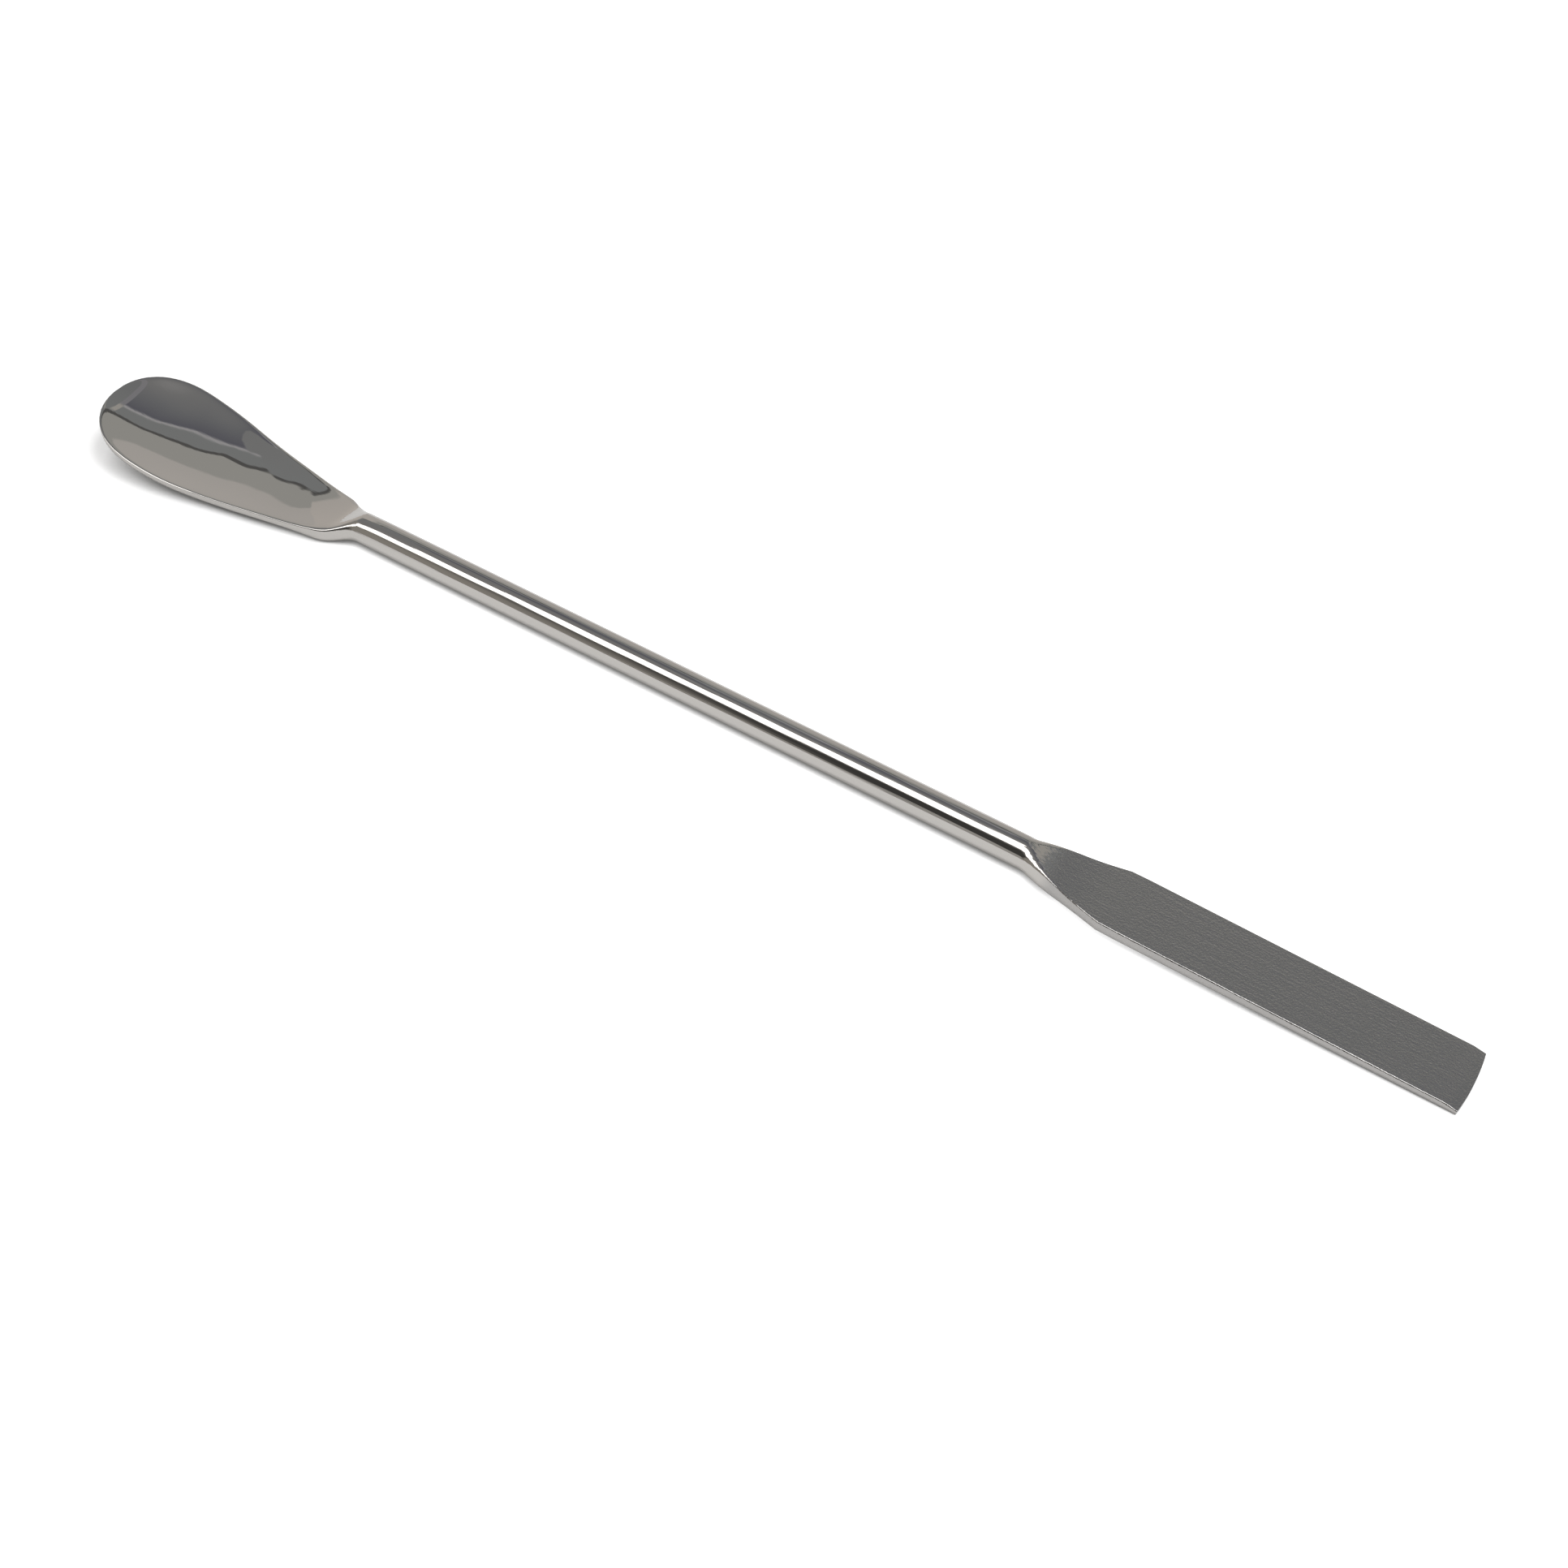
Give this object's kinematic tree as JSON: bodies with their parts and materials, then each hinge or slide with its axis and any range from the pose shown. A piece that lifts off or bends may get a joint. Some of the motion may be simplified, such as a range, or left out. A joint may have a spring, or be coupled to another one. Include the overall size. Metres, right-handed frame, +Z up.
{
  "type": "laboratory spatula",
  "caption": "Double-ended stainless steel spatula: a round rod with a turned-up teardrop spoon at one end and a flat tapering blade at the other.",
  "frame": {"origin": "middle of the bounding box in X and Y, at the height of the surface that the spatula lies on", "axes": "+X along the rod from the spoon towards the blade, +Z up out of the spoon's bowl, +Y across the blade"},
  "size_m": [0.1768, 0.016, 0.0049],
  "materials": {
    "polished_steel": "polished along its length, with fine polishing lines and a satin blade"
  },
  "bodies": {
    "root": {"spatula": "polished_steel"}
  },
  "joints": []
}
